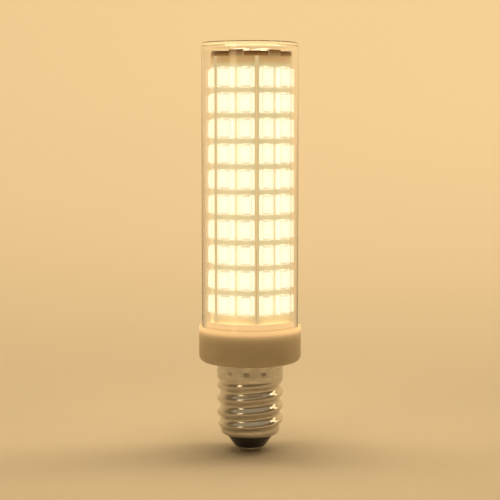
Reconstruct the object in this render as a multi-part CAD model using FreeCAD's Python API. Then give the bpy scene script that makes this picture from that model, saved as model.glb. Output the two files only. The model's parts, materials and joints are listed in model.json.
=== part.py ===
import FreeCAD, Part
import math
import os

from FreeCAD import Vector

# A corn lamp: six upright boards of white LEDs stand as a hollow prism under a clear cover,
# on a moulded base with a small screw cap.  Sizes are millimetres and +Z runs up the lamp's
# axis.  The origin is the tip of the centre contact.

# Clear cover: a thin tube with a flat closed top
cover_diameter = 20.0
cover_wall = 0.7
cover_top_wall = 0.8
cover_edge_bevel = 0.5
cover_seat_depth = 2.4
cover_fit = 0.1
cover_head_room = 0.5

# LED packages, and their grid on the side boards
led_width = 2.8
led_length = 3.5
led_height = 0.7
led_rim = 0.3
led_window_height = 0.1
led_rows = 10
led_row_gap = 1.6
led_column_gap = 1.6
led_edge_margin = 0.25
led_cover_clearance = 0.12

# Circuit boards of the prism
side_count = 6
board_thickness = 0.8
board_joint_gap = 0.05
board_head = 2.45
board_foot = 2.05
tab_width = 3.0
tab_fit = 0.1
tab_rise = 0.3
top_board_thickness = 1.0
top_board_cover_gap = 0.6
top_led_columns = 2
top_led_rows = 2
base_board_thickness = 1.0
base_board_edge_gap = 0.3
base_hole_gap = 0.3

# Moulded base: collar round the cover's end, spigot inside it, neck inside the screw shell
collar_lip = 0.5
collar_height = 7.4
collar_lower_bevel = 1.1
collar_floor = 1.6
spigot_rise = 0.4
spigot_wall = 1.6
neck_wall = 0.85
neck_fit = 0.05

# Screw cap of the E14 size.  The shell is the thread's envelope: the rolled thread of this
# depth is sunk in its lower stretch, so the bore keeps clear of the thread's roots.
thread_diameter = 13.8
thread_depth = 0.75
shell_height = 15.4
shell_sheet = 0.35
shell_corner_bevel = 1.0
shell_floor_width = 0.9

# Plug and contact at the cap's end
cone_height = 2.6
cone_end_radius = 3.1
plug_fit = 0.05
plug_flange_height = 1.0
contact_radius = 2.5
contact_height = 0.9
contact_edge_bevel = 0.3
contact_stem_radius = 0.85
contact_stem_rise = 0.6

# Driver board and the parts on it
driver_thickness = 1.0
driver_fit = 0.1
driver_groove_depth = 0.4
driver_stand = 7.0
driver_rise = 15.0
part_gap = 0.05
part_lift = 2.5
part_wall_gap = 0.15
smoothing_height = 9.0
film_depth = 4.0
film_height = 10.0
film_edge_radius = 0.6
bridge_width = 4.6
bridge_length = 3.8
bridge_height = 1.5
bridge_lift = 5.0
bleed_width = 3.2
bleed_length = 1.6
bleed_height = 0.6
fuse_radius = 1.15
fuse_wire_radius = 0.3
fuse_wire_length = 0.9

# Bent contact strips
strip_thickness = 0.25
strip_width = 1.0
strip_bend_radius = 0.6
neutral_offset = 2.4
neutral_climb = 4.0
neutral_slot_fit = 0.15
neutral_wall_gap = 0.05
led_strip_angle = 55.0
led_strip_climb = 1.2

# Radii of the cover and of the pieces that fit it
cover_radius = cover_diameter / 2
cover_bore = cover_radius - cover_wall
lip_bore = cover_radius + cover_fit
collar_radius = lip_bore + collar_lip
spigot_radius = cover_bore - cover_fit
cavity_radius = spigot_radius - spigot_wall

# The prism is as wide as the cover lets it be: neither the LED faces' outer corners nor the
# boards' own corners may reach the cover's bore.
led_pitch_across = led_width + led_column_gap
led_pitch_along = led_length + led_row_gap
half_turn = math.pi / side_count
prism_reach = cover_bore - led_cover_clearance


def field_width(columns):
    """Width of a row of LEDs, from outer edge to outer edge."""
    return (columns - 1) * led_pitch_across + led_width


def led_face_distance(columns):
    """Distance from the axis to the LED faces of a board with this many columns."""
    led_limit = math.sqrt(prism_reach ** 2 - (field_width(columns) / 2) ** 2)
    slope = math.tan(half_turn) ** 2
    inner = slope * board_thickness
    root = inner ** 2 - (1 + slope) * (inner * board_thickness - prism_reach ** 2)
    board_limit = (inner + math.sqrt(root)) / (1 + slope)
    return min(led_limit, board_limit + led_height)


def side_board_width(columns):
    """Width of a side board whose inner edges meet its neighbours' inner edges."""
    back = led_face_distance(columns) - led_height - board_thickness
    return 2 * back * math.tan(half_turn) - board_joint_gap


led_columns = 1
while field_width(led_columns + 1) + 2 * led_edge_margin <= side_board_width(led_columns + 1):
    led_columns += 1

led_face = led_face_distance(led_columns)
led_body_face = led_face - led_window_height
board_face = led_face - led_height
board_back = board_face - board_thickness
board_width = side_board_width(led_columns)
led_field_length = (led_rows - 1) * led_pitch_along + led_length
board_length = board_foot + led_field_length + board_head

# Radii of the cap and of the neck inside it
thread_radius = thread_diameter / 2
shell_bore = thread_radius - thread_depth - shell_sheet
shell_throat = thread_radius - shell_corner_bevel - shell_floor_width
neck_radius = shell_bore - neck_fit
neck_bore = neck_radius - neck_wall
groove_radius = neck_bore + driver_groove_depth
driver_half_width = groove_radius - driver_fit
driver_face = driver_thickness / 2
base_hole_radius = driver_half_width + base_hole_gap
base_board_radius = spigot_radius - base_board_edge_gap

# Heights, stacked from the contact's tip to the cover's top
shell_bottom = contact_height + cone_height
shell_floor = shell_bottom + shell_sheet
neck_bottom = shell_floor + plug_flange_height
collar_bottom = shell_bottom + shell_height
collar_top = collar_bottom + collar_height
cavity_floor = collar_bottom + collar_floor
seat_floor = collar_top - cover_seat_depth
spigot_top = collar_top + spigot_rise
side_bottom = spigot_top + base_board_thickness
side_top = side_bottom + board_length
top_board_top = side_top + top_board_thickness
cover_ceiling = top_board_top + led_height + cover_head_room
cover_top = cover_ceiling + cover_top_wall
driver_bottom = neck_bottom + driver_stand
driver_top = side_bottom + driver_rise
parts_bottom = side_bottom + part_lift

parts = {}


def turned(outline):
    """Solid turned about Z from a closed outline of (radius, height) points."""
    points = [Vector(r, 0, z) for r, z in outline]
    face = Part.Face(Part.makePolygon(points + points[:1]))
    return face.revolve(Vector(0, 0, 0), Vector(0, 0, 1), 360)


def block(x_range, y_range, z_range):
    """Box between pairs of coordinates."""
    corner = Vector(x_range[0], y_range[0], z_range[0])
    sizes = [r[1] - r[0] for r in (x_range, y_range, z_range)]
    return Part.makeBox(sizes[0], sizes[1], sizes[2], corner)


def spun(shape, angle):
    """Copy of a shape, turned about the lamp's axis by an angle in degrees."""
    copy = shape.copy()
    copy.rotate(Vector(0, 0, 0), Vector(0, 0, 1), angle)
    return copy


def centred(count, pitch):
    """Offsets of evenly spaced copies about zero."""
    return [(i - (count - 1) / 2) * pitch for i in range(count)]


def angle_strip(x_middle, start, corner, end):
    """Flat strip with one tangent bend, lying on the inner side of a path of (y, z) points."""
    points = [Vector(x_middle - strip_width / 2, y, z) for y, z in (start, corner, end)]
    back = (points[0] - points[1]).normalize()
    ahead = (points[2] - points[1]).normalize()
    centre = points[1] + (back + ahead) * strip_bend_radius
    edges = []
    for inset in (0, strip_thickness):
        first = points[0] + ahead * inset
        last = points[2] + back * inset
        radius = strip_bend_radius - inset
        arc_start = centre - ahead * radius
        arc_end = centre - back * radius
        middle = centre - (back + ahead) * (radius / math.sqrt(2))
        edges.append(Part.LineSegment(first, arc_start).toShape())
        edges.append(Part.Arc(arc_start, middle, arc_end).toShape())
        edges.append(Part.LineSegment(arc_end, last).toShape())
    edges.append(Part.LineSegment(points[0], points[0] + ahead * strip_thickness).toShape())
    edges.append(Part.LineSegment(points[2], points[2] + back * strip_thickness).toShape())
    face = Part.Face(Part.Wire(Part.sortEdges(edges)[0]))
    return face.extrude(Vector(strip_width, 0, 0))


# Clear cover, open at the foot, standing on the floor of the collar's groove
parts["clear_cover"] = turned([
    (cover_bore, seat_floor),
    (cover_radius, seat_floor),
    (cover_radius, cover_top - cover_edge_bevel),
    (cover_radius - cover_edge_bevel, cover_top),
    (0, cover_top),
    (0, cover_ceiling),
    (cover_bore, cover_ceiling),
])

# Side boards: a tab at each end goes into the round board below and the six-sided one above
tab_bottom = side_bottom - base_board_thickness
tab_top = top_board_top + tab_rise
across = (-board_width / 2, board_width / 2)
tab_across = (-tab_width / 2, tab_width / 2)
side_board = block((board_back, board_face), across, (side_bottom, side_top))
side_board = side_board.fuse(block((board_back, board_face), tab_across, (tab_bottom, tab_top)))
side_board = side_board.removeSplitter()


def led_package(across_at, along_at):
    """Moulded LED body, and the phosphor window that stands on its face."""
    shapes = []
    for rim, bottom, top in ((0, board_face, led_body_face), (led_rim, led_body_face, led_face)):
        half_w = led_width / 2 - rim
        half_l = led_length / 2 - rim
        shapes.append(block((bottom, top), (across_at - half_w, across_at + half_w),
                            (along_at - half_l, along_at + half_l)))
    return shapes


packages = []
first_row = side_bottom + board_foot + led_field_length / 2
for along_offset in centred(led_rows, led_pitch_along):
    for across_offset in centred(led_columns, led_pitch_across):
        packages.append(led_package(across_offset, first_row + along_offset))

# The first board faces half a side's turn to one side of -Y, so that a corner points to -Y
side_turn = 360 / side_count
for number in range(side_count):
    angle = -90 - side_turn / 2 + number * side_turn
    name = str(number + 1)
    parts["side_board_" + name] = spun(side_board, angle)
    parts["led_frames_" + name] = Part.makeCompound([spun(body, angle) for body, _ in packages])
    parts["led_phosphors_" + name] = Part.makeCompound([spun(fill, angle) for _, fill in packages])

# Six-sided top board: its edge notches hold the side boards' upper tabs
hexagon = [Vector(board_face / math.cos(half_turn), 0, side_top)]
hexagon = [spun(Part.Vertex(hexagon[0]), -90 + i * side_turn).Point for i in range(side_count + 1)]
top_board = Part.Face(Part.makePolygon(hexagon)).extrude(Vector(0, 0, top_board_thickness))
top_round = cover_bore - top_board_cover_gap
top_board = top_board.common(Part.makeCylinder(top_round, top_board_thickness, Vector(0, 0, side_top)))
slot_across = (-tab_width / 2 - tab_fit, tab_width / 2 + tab_fit)
for number in range(side_count):
    notch = block((board_back - tab_fit, cover_radius), slot_across, (side_top, top_board_top))
    top_board = top_board.cut(spun(notch, -90 - side_turn / 2 + number * side_turn))
parts["top_board"] = top_board

# LEDs on the top board, the same packages turned to face up
lift = FreeCAD.Placement(Vector(0, 0, top_board_top), FreeCAD.Rotation(Vector(0, 1, 0), -90))
top_frames = []
top_fills = []
for across_offset in centred(top_led_columns, led_pitch_across):
    for along_offset in centred(top_led_rows, led_pitch_along):
        for shape, group in zip(led_package(across_offset, along_offset), (top_frames, top_fills)):
            shape.translate(Vector(-board_face, 0, 0))
            shape.Placement = lift.multiply(shape.Placement)
            group.append(spun(shape, 90))
parts["top_led_frames"] = Part.makeCompound(top_frames)
parts["top_led_phosphors"] = Part.makeCompound(top_fills)

# Round base board on the spigot, with slots for the lower tabs and a hole for the driver board
base_board = Part.makeCylinder(base_board_radius, base_board_thickness, Vector(0, 0, spigot_top))
base_board = base_board.cut(Part.makeCylinder(base_hole_radius, base_board_thickness, Vector(0, 0, spigot_top)))
for number in range(side_count):
    slot = block((board_back - tab_fit, board_face + tab_fit), slot_across, (spigot_top, side_bottom))
    base_board = base_board.cut(spun(slot, -90 - side_turn / 2 + number * side_turn))
parts["base_board"] = base_board

# Moulded base in one piece
housing = turned([
    (neck_bore, neck_bottom),
    (neck_radius, neck_bottom),
    (neck_radius, collar_bottom),
    (collar_radius - collar_lower_bevel, collar_bottom),
    (collar_radius, collar_bottom + collar_lower_bevel),
    (collar_radius, collar_top),
    (lip_bore, collar_top),
    (lip_bore, seat_floor),
    (spigot_radius, seat_floor),
    (spigot_radius, spigot_top),
    (cavity_radius, spigot_top),
    (cavity_radius, cavity_floor),
    (neck_bore, cavity_floor),
])
groove_side = driver_face + driver_fit
housing = housing.cut(block((-groove_radius, groove_radius), (-groove_side, groove_side),
                            (driver_bottom, cavity_floor)))
slot_half = strip_width / 2 + neutral_slot_fit
slot_top = neck_bottom + strip_thickness + neutral_slot_fit
housing = housing.cut(block((neutral_offset - slot_half, neutral_offset + slot_half),
                            (-shell_bore, -driver_face), (neck_bottom, slot_top)))
parts["base_housing"] = housing

# Screw shell: a drawn cup, with a hole in its floor for the plug
shell = turned([
    (0, shell_bottom),
    (thread_radius - shell_corner_bevel, shell_bottom),
    (thread_radius, shell_bottom + shell_corner_bevel),
    (thread_radius, collar_bottom),
    (0, collar_bottom),
])
shell = shell.cut(Part.makeCylinder(shell_bore, collar_bottom - shell_floor, Vector(0, 0, shell_floor)))
shell = shell.cut(Part.makeCylinder(shell_throat, shell_sheet, Vector(0, 0, shell_bottom)))
parts["screw_shell"] = shell

# Insulating plug: its flange lies on the shell's floor under the neck, its cone shows below
plug_radius = shell_throat - plug_fit
plug_hole = contact_stem_radius + plug_fit
parts["cap_insulator"] = turned([
    (plug_hole, contact_height),
    (cone_end_radius, contact_height),
    (plug_radius, shell_bottom),
    (plug_radius, shell_floor),
    (neck_radius, shell_floor),
    (neck_radius, neck_bottom),
    (plug_hole, neck_bottom),
])

# Centre contact: a rivet through the plug
stem_top = neck_bottom + contact_stem_rise
parts["centre_contact"] = turned([
    (0, 0),
    (contact_radius - contact_edge_bevel, 0),
    (contact_radius, contact_edge_bevel),
    (contact_radius, contact_height),
    (contact_stem_radius, contact_height),
    (contact_stem_radius, stem_top),
    (0, stem_top),
])

# Driver board, on the floors of the neck's two grooves
parts["driver_board"] = block((-driver_half_width, driver_half_width), (-driver_face, driver_face),
                              (driver_bottom, driver_top))

# Capacitors beside the driver board, inside the prism
part_face = driver_face + part_gap
smoothing_radius = (board_back - part_wall_gap - part_face) / 2
parts["smoothing_capacitor"] = Part.makeCylinder(
    smoothing_radius, smoothing_height, Vector(0, part_face + smoothing_radius, parts_bottom))
film_back = part_face + film_depth
film_half = math.sqrt((board_back - part_wall_gap) ** 2 - film_back ** 2)
film = block((-film_half, film_half), (-film_back, -part_face), (parts_bottom, parts_bottom + film_height))
film_edges = [e for e in film.Edges if abs(e.CenterOfMass.y + film_back) < part_gap]
parts["film_capacitor"] = film.makeFillet(film_edge_radius, film_edges)

# Rectifier and bleed resistor, flat on the driver board's faces inside the base
bridge_bottom = driver_bottom + bridge_lift
parts["bridge_rectifier"] = block((-bridge_width / 2, bridge_width / 2),
                                  (driver_face, driver_face + bridge_height),
                                  (bridge_bottom, bridge_bottom + bridge_length))
parts["bleed_resistor"] = block((-bleed_width / 2, bleed_width / 2),
                                (-driver_face - bleed_height, -driver_face),
                                (bridge_bottom, bridge_bottom + bleed_length))

# Fuse resistor with its wires, standing between the contact's stem and the driver board
fuse_bottom = stem_top + fuse_wire_length
fuse_top = driver_bottom - fuse_wire_length
parts["fuse_resistor"] = turned([
    (0, stem_top),
    (fuse_wire_radius, stem_top),
    (fuse_wire_radius, fuse_bottom),
    (fuse_radius, fuse_bottom),
    (fuse_radius, fuse_top),
    (fuse_wire_radius, fuse_top),
    (fuse_wire_radius, driver_bottom),
    (0, driver_bottom),
])

# Neutral strip: down the driver board's face, out through the neck's slot to the shell
neutral_reach = math.sqrt(shell_bore ** 2 - (neutral_offset + strip_width / 2) ** 2) - neutral_wall_gap
parts["neutral_strip"] = angle_strip(
    neutral_offset,
    (-driver_face, driver_bottom + neutral_climb),
    (-driver_face, neck_bottom),
    (-neutral_reach, neck_bottom))

# LED strips: flat on the driver board's face, bent out on to the base board
ring_radius = (base_hole_radius + board_back) / 2
led_strip_x = ring_radius * math.cos(math.radians(led_strip_angle))
led_strip_y = ring_radius * math.sin(math.radians(led_strip_angle))
for name, side in (("positive", 1), ("negative", -1)):
    parts["led_strip_" + name] = angle_strip(
        side * led_strip_x,
        (driver_face, side_bottom + led_strip_climb),
        (driver_face, side_bottom),
        (led_strip_y, side_bottom))

os.makedirs("parts", exist_ok=True)
for name, shape in parts.items():
    shape.exportStep("parts/" + name + ".step")
print(len(parts), "pieces, top of the cover at", round(cover_top, 2))
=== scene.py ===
# %% [markdown]
# # Dressing a corn lamp
# A corn lamp is a small prism of circuit boards covered in LEDs, under a clear tube, on a
# plastic base with a screw cap. The frame that is loaded here holds every piece at its real
# size, so nothing has to be fitted by eye. This lesson gives the visible pieces their soft
# edges, their thread and their finishes, and shows the lamp lit. What the frame can't tell,
# such as the thickness of a wall, is written where it is first needed.

# %% Load the frame
import json
import math

import bmesh
import bpy
from mathutils import Matrix, Vector

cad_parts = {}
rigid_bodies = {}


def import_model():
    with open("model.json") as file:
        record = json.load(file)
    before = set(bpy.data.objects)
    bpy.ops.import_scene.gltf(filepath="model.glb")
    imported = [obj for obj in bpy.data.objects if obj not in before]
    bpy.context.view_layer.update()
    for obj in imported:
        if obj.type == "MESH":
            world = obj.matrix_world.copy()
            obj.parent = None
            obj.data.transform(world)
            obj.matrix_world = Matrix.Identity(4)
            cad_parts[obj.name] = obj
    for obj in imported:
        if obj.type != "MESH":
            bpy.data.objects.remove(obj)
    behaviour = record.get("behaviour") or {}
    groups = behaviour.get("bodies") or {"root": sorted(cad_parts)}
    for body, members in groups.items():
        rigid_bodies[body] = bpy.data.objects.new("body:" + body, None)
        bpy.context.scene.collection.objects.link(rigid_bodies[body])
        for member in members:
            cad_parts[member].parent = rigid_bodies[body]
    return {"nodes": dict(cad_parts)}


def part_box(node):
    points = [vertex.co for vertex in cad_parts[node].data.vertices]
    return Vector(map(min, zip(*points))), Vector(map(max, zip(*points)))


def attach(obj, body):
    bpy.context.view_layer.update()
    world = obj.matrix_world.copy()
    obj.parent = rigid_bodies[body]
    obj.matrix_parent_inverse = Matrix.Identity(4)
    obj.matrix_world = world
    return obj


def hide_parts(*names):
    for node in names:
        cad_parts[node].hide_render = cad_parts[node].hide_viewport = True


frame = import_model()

mm = 0.001
scene = bpy.context.scene
nodes = frame["nodes"]
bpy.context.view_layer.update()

# %% [markdown]
# ## Helpers for nodes
# Every finish on this lamp is a small tree of nodes that feeds one shader. Trees can be drawn
# by hand in the shader editor, but a script is easier to read, to repeat and to change. The
# first helper feeds a socket with a link or a plain value, the second adds a node with all its
# values, and the third starts a node group, which is a tree that several materials share.

# %% Helpers: nodes and groups
def feed(socket, value):
    """Link another node's output to a socket, or set the socket to a plain value."""
    if isinstance(value, bpy.types.NodeSocket):
        socket.id_data.links.new(value, socket)
    else:
        socket.default_value = value


def add(tree, kind, values=None, **settings):
    """Add a node, with settings as its properties and values for its input sockets."""
    node = tree.nodes.new(kind)
    for key, value in settings.items():
        setattr(node, key, value)
    for socket, value in (values or {}).items():
        feed(node.inputs[socket], value)
    return node


def start_group(name, inputs, outputs):
    """New node group with number inputs and outputs of given kinds, and the nodes of both ends."""
    group = bpy.data.node_groups.new(name, "ShaderNodeTree")
    for label, value in inputs.items():
        socket = group.interface.new_socket(label, in_out="INPUT", socket_type="NodeSocketFloat")
        socket.default_value = value
    for label, kind in outputs.items():
        group.interface.new_socket(label, in_out="OUTPUT", socket_type="NodeSocket" + kind)
    return group, add(group, "NodeGroupInput"), add(group, "NodeGroupOutput")


print("node helpers are ready")

# %% [markdown]
# ## Shared effect: moulding grain
# Plastic and solder resist are never perfectly even. A fine noise gives the height for a
# bump, and a broader one gives slow cloudy changes of shade. Painted textures could do this
# too, but noise has no seams and needs no map. Many materials use it, so it is one group with
# two scales, and each material decides how strong it is.

# %% Group: moulding grain
grain_group, grain_in, grain_out = start_group(
    "moulding_grain", {"Fine scale": 3000.0, "Cloud scale": 120.0}, {"Height": "Float", "Cloud": "Float"})
grain_place = add(grain_group, "ShaderNodeTexCoord")
grain_noises = (("Fine scale", 3.0, 0.55, "Height"), ("Cloud scale", 2.0, 0.5, "Cloud"))
for scale, detail, roughness, result in grain_noises:
    noise = add(grain_group, "ShaderNodeTexNoise", {
        "Vector": grain_place.outputs["Object"], "Scale": grain_in.outputs[scale],
        "Detail": detail, "Roughness": roughness})
    feed(grain_out.inputs[result], noise.outputs["Fac"])
print("group made:", grain_group.name)

# %% [markdown]
# ## Shared effect: handling marks
# Plated and tinned metal gathers fine scratches each time the lamp is screwed in or out. They
# could be drawn one by one, but noise that is squeezed hard along Z looks just like them: each
# streak is long and thin, and runs round the axis. A range keeps only the strongest streaks.

# %% Group: handling marks
def ranged(tree, value, low, high, to_low=0.0, to_high=1.0):
    """Stretch a value from one range to another, held at both ends, and return its socket."""
    node = add(tree, "ShaderNodeMapRange", {
        "Value": value, "From Min": low, "From Max": high, "To Min": to_low, "To Max": to_high})
    return node.outputs["Result"]


marks_group, marks_in, marks_out = start_group(
    "handling_marks", {"Scale": 300.0, "Stretch": 12.0}, {"Streaks": "Float", "Height": "Float"})
marks_place = add(marks_group, "ShaderNodeTexCoord")
squeeze = add(marks_group, "ShaderNodeCombineXYZ", {"X": 1.0, "Y": 1.0, "Z": marks_in.outputs["Stretch"]})
squeezed = add(marks_group, "ShaderNodeVectorMath", {
    0: marks_place.outputs["Object"], 1: squeeze.outputs["Vector"]}, operation="MULTIPLY")
marks_noise = add(marks_group, "ShaderNodeTexNoise", {
    "Vector": squeezed.outputs["Vector"], "Scale": marks_in.outputs["Scale"],
    "Detail": 5.0, "Roughness": 0.65})
feed(marks_out.inputs["Streaks"], ranged(marks_group, marks_noise.outputs["Fac"], low=0.5, high=0.72))
feed(marks_out.inputs["Height"], marks_noise.outputs["Fac"])
print("group made:", marks_group.name)

# %% [markdown]
# ## Shared effect: place on the lamp
# Several finishes depend on how high a point lies or how far from the axis. Object coordinates
# give that without a map, because every piece keeps its place in its mesh. The group turns
# them into millimetres, which are easier to read than metres on a thing of this size.

# %% Group: place on the lamp
spot_group, _, spot_out = start_group(
    "place_on_lamp", {}, {"Across": "Float", "Along": "Float", "Height": "Float", "Radius": "Float"})
spot_place = add(spot_group, "ShaderNodeTexCoord")
in_millimetres = add(spot_group, "ShaderNodeVectorMath", {
    0: spot_place.outputs["Object"], "Scale": 1 / mm}, operation="SCALE").outputs["Vector"]
spot_axes = add(spot_group, "ShaderNodeSeparateXYZ", {"Vector": in_millimetres})
for axis, result in (("X", "Across"), ("Y", "Along"), ("Z", "Height")):
    feed(spot_out.inputs[result], spot_axes.outputs[axis])
level = add(spot_group, "ShaderNodeVectorMath", {0: in_millimetres, 1: (1.0, 1.0, 0.0)}, operation="MULTIPLY")
from_axis = add(spot_group, "ShaderNodeVectorMath", {0: level.outputs["Vector"]}, operation="LENGTH")
feed(spot_out.inputs["Radius"], from_axis.outputs["Value"])
print("group made:", spot_group.name)

# %% [markdown]
# ## Shared effect: light that fades with distance
# The lamp is lit. White boards and white plastic near the LEDs pick up their light and pass
# some of it on. Tracing that light through the clear wall would be slow and full of noise, so
# these surfaces glow themselves, less and less with distance. The group takes a distance and
# a reach in millimetres, and gives a fade from one to zero that starts steeply. Less than no
# distance counts as none.

# %% Group: fading glow
def math_node(tree, operation, first, second=0.0):
    """One step of a sum with sockets or plain numbers; returns the result's socket."""
    return add(tree, "ShaderNodeMath", {0: first, 1: second}, operation=operation).outputs["Value"]


left_after_reach = 0.37
glow_group, glow_in, glow_out = start_group("fading_glow", {"Distance": 0.0, "Reach": 1.0}, {"Glow": "Float"})
outside = math_node(glow_group, "MAXIMUM", glow_in.outputs["Distance"], 0.0)
reaches = math_node(glow_group, "DIVIDE", outside, glow_in.outputs["Reach"])
feed(glow_out.inputs["Glow"], math_node(glow_group, "POWER", left_after_reach, reaches))
print("group made:", glow_group.name)

# %% [markdown]
# ## Helpers for colours
# No surface has one flat colour, so nearly every finish mixes two shades by some mask. A
# picture gives screen colours, but shaders count in linear light. They could be worked out by
# hand, but then nobody could compare them with a picture, so a helper turns one into the other.

# %% Helpers: colours
def linear(red, green, blue):
    """Screen colour from 0 to 255, as a linear shader colour by the standard sRGB curve."""
    def one(value):
        value = value / 255
        return value / 12.92 if value <= 0.04045 else ((value + 0.055) / 1.055) ** 2.4
    return one(red), one(green), one(blue), 1.0


def mixed(tree, share, low, high):
    """Mix two colours by a share from zero to one, and return the colour's socket."""
    node = add(tree, "ShaderNodeMix", {"Factor": share, "A": low, "B": high}, data_type="RGBA")
    return node.outputs["Result"]


print("colour helpers are ready")

# %% [markdown]
# ## Helpers for materials
# Each material is one Principled shader, which can be plastic, metal or glass. What is the same
# all over a surface goes straight to the shader's own sockets, and only what changes over the
# surface comes from nodes. So the helpers take plain values and links in the same way.

# %% Helpers: materials
def set_inputs(node, **values):
    """Feed those sockets of a node that are named here, with _ in place of each space."""
    for label, value in values.items():
        feed(node.inputs[label.replace("_", " ")], value)


def start_material(name, **values):
    """New material, its tree, and its Principled shader with the values given here."""
    material = bpy.data.materials.new(name)
    material.use_nodes = True
    shader = material.node_tree.nodes["Principled BSDF"]
    set_inputs(shader, **values)
    return material, material.node_tree, shader


def place_group(tree, group, **values):
    """Put a node group in a material's tree, with its own values."""
    node = add(tree, "ShaderNodeGroup", node_tree=group)
    set_inputs(node, **values)
    return node


print("material helpers are ready")

# %% [markdown]
# ## Finish: LED windows
# The window of a white LED is a silicone fill with yellow phosphor. When the lamp is off it
# looks like egg yolk, and when it is on it is the brightest thing in sight. A plain white
# emission would lose both, so the base colour keeps the yolk, and the emission is a warm white
# that turns a little warmer at the window's rim. The map on each window runs from -1 to 1, so
# its length is the distance from the middle.

# %% Material: glowing phosphor
phosphor, tree, shader = start_material("led_phosphor_lit", Roughness=0.35, Emission_Strength=1.0)
window_map = add(tree, "ShaderNodeUVMap")
from_middle = add(tree, "ShaderNodeVectorMath", {0: window_map.outputs["UV"]}, operation="LENGTH")
near_rim = ranged(tree, from_middle.outputs["Value"], low=0.55, high=1.4)
grain = place_group(tree, grain_group, Fine_scale=6000.0, Cloud_scale=900.0)
yolk = mixed(tree, grain.outputs["Cloud"], linear(255, 214, 90), linear(255, 226, 130))
warm_white = mixed(tree, near_rim, linear(255, 241, 232), linear(255, 236, 214))
set_inputs(shader, Base_Color=yolk, Emission_Color=warm_white)
print("material made:", phosphor.name)

# %% [markdown]
# ## Finish: LED bodies
# The body round each window is a white, slightly translucent moulding, and light from the fill
# leaks through its thin rim. Subsurface scattering could carry that light, but not on faces
# this small, so the body gets a weaker emission of a creamier colour, with a little
# cloudiness so that no two bodies look the same.

# %% Material: white LED body
led_white, tree, shader = start_material("led_body_white", Roughness=0.4, Emission_Strength=0.74)
grain = place_group(tree, grain_group, Fine_scale=5000.0, Cloud_scale=400.0)
moulded = mixed(tree, grain.outputs["Cloud"], linear(244, 238, 222), linear(252, 249, 240))
leak = mixed(tree, grain.outputs["Cloud"], linear(255, 241, 206), linear(255, 246, 220))
set_inputs(shader, Base_Color=moulded, Emission_Color=leak)
print("material made:", led_white.name)

# %% [markdown]
# ## Where the LEDs sit
# Two columns of ten LEDs sit on each side board. The third side faces +X, so the box of its
# LED field gives all distances without any trigonometry. The package size is a standard one,
# so the box of the field also gives the pitch of the columns and of the rows.

# %% LED grid
led_width = 2.8 * mm
led_length = 3.5 * mm
columns = 2
rows = 10
body_low, body_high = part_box("led_frames_3")
column_pitch = (body_high.y - body_low.y - led_width) / (columns - 1)
row_pitch = (body_high.z - body_low.z - led_length) / (rows - 1)
first_row = body_low.z + led_length / 2
print("row pitch", round(row_pitch / mm, 2), "mm, column pitch", round(column_pitch / mm, 2), "mm")

# %% [markdown]
# ## Shared effect: distance to the nearest LED
# Boards glow most beside an LED, so their finish has to know where the LEDs are. A lamp for
# each LED would be far too slow. Instead the group folds any point of a board on to its nearest
# LED and measures how far it lies outside it. The narrow gap between two columns is lit from
# both sides, so the measure starts a little later beside an LED than beyond its ends.

# %% Group: LED distance
def past(tree, value, half):
    """How far a value in millimetres lies past half a width, on either side of zero."""
    return math_node(tree, "SUBTRACT", math_node(tree, "ABSOLUTE", value), half / mm)


side_glow = 0.36 * mm
gap_group, gap_in, gap_out = start_group(
    "led_distance", {"Across": 0.0, "Along": 0.0, "Last row": 0.0}, {"Distance": "Float", "Column": "Float"})
along = gap_in.outputs["Along"]
column = past(gap_group, gap_in.outputs["Across"], column_pitch / 2)
row = math_node(gap_group, "ROUND", math_node(gap_group, "DIVIDE", along, row_pitch / mm))
row = math_node(gap_group, "MAXIMUM", row, 0.0)
row = math_node(gap_group, "MINIMUM", row, gap_in.outputs["Last row"])
from_row = math_node(gap_group, "SUBTRACT", along, math_node(gap_group, "MULTIPLY", row, row_pitch / mm))
beside = math_node(gap_group, "MAXIMUM", past(gap_group, column, led_width / 2 + side_glow), 0.0)
beyond = math_node(gap_group, "MAXIMUM", past(gap_group, from_row, led_length / 2), 0.0)
squares = [math_node(gap_group, "POWER", side, 2.0) for side in (beside, beyond)]
feed(gap_out.inputs["Distance"], math_node(gap_group, "SQRT", math_node(gap_group, "ADD", *squares)))
feed(gap_out.inputs["Column"], math_node(gap_group, "ABSOLUTE", column))
print("group made:", gap_group.name)

# %% [markdown]
# ## Shared effect: halo on white resist
# LED boards are printed with thick white resist so that they throw light outwards. The light
# on it goes from cream beside an LED to tan and brown at the bare ends of the board. One fade
# can't follow both its strength and its hue, so a colour ramp over the distance does.

# %% Group: halo
# Each stop is a distance in millimetres and the screen colour of the light there.
halo_reach = 3.0
halo_stops = (
    (0.0, (240, 228, 194)),
    (0.18, (234, 219, 178)),
    (0.34, (178, 169, 132)),
    (0.8, (170, 157, 116)),
    (1.2, (164, 130, 78)),
    (2.2, (136, 96, 44)),
    (2.6, (88, 54, 16)),
)
halo_group, halo_in, halo_out = start_group("led_halo", {"Distance": 0.0}, {"Colour": "Color"})
ramp = add(halo_group, "ShaderNodeValToRGB", {
    "Fac": math_node(halo_group, "DIVIDE", halo_in.outputs["Distance"], halo_reach)})
for away, _ in halo_stops[2:]:
    ramp.color_ramp.elements.new(away / halo_reach)
for element, (away, colour) in zip(ramp.color_ramp.elements, halo_stops):
    element.position = away / halo_reach
    element.color = linear(*colour)
feed(halo_out.inputs["Colour"], ramp.outputs["Color"])
print("group made:", halo_group.name, "with", len(halo_stops), "stops")

# %% [markdown]
# ## Finish: light on the side boards
# A side board carries resist on its outer face only, so it gets a map in millimetres that
# starts at the first row of LEDs. The halo group gives most of its light. At the foot the
# bright round board below adds more, and the fading glow mixes that in.

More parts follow.
